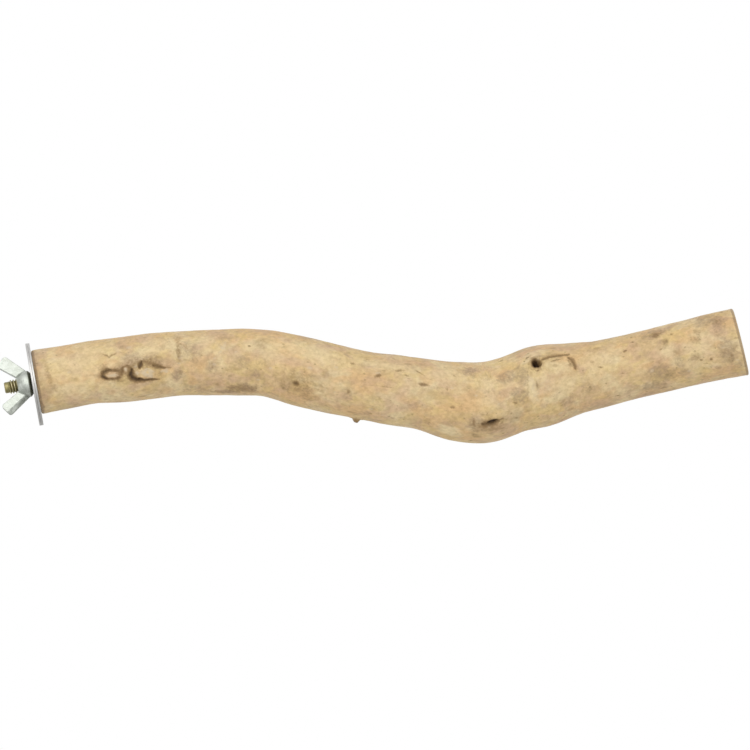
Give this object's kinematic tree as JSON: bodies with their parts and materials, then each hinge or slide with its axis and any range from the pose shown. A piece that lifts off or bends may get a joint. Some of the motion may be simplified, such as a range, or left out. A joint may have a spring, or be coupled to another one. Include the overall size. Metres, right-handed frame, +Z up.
{
  "type": "bird perch",
  "caption": "Crooked debarked branch perch with a threaded stud, large washers and a wing nut that clamp it to a cage wall.",
  "frame": {"origin": "on the stud's axis, in the plane where the faces of the two washers meet and the cage wall is clamped", "axes": "+X along the stud into the wood and along the branch, +Z up as in the picture, -Y towards the picture's viewer"},
  "size_m": [0.3399, 0.0414, 0.0819],
  "materials": {
    "bare_wood": "bare debarked wood, sanded, matt",
    "yellow_zinc": "yellow-passivated zinc plate",
    "washer_zinc": "bright zinc plate, stamped",
    "nut_zinc": "bright zinc plate, forged"
  },
  "bodies": {
    "perch": {"branch": "bare_wood", "hanger_bolt": "yellow_zinc", "inner_washer": "washer_zinc"},
    "clamp_washer": {"outer_washer": "washer_zinc"},
    "nut": {"wing_nut": "nut_zinc"}
  },
  "joints": [
    {"name": "washer_slide", "type": "slide", "parent": "perch", "child": "clamp_washer", "axis": [-1, 0, 0], "range_m": [0, 0.00763]},
    {"name": "nut_turn", "type": "hinge", "parent": "clamp_washer", "child": "nut", "pos_m": [0, 0, 0], "axis": [-1, 0, 0], "range_deg": [0, 2160]}
  ],
  "couplings": [
    {"joint": "washer_slide", "follows": "nut_turn", "m_per_rad": 0.00020213}
  ]
}
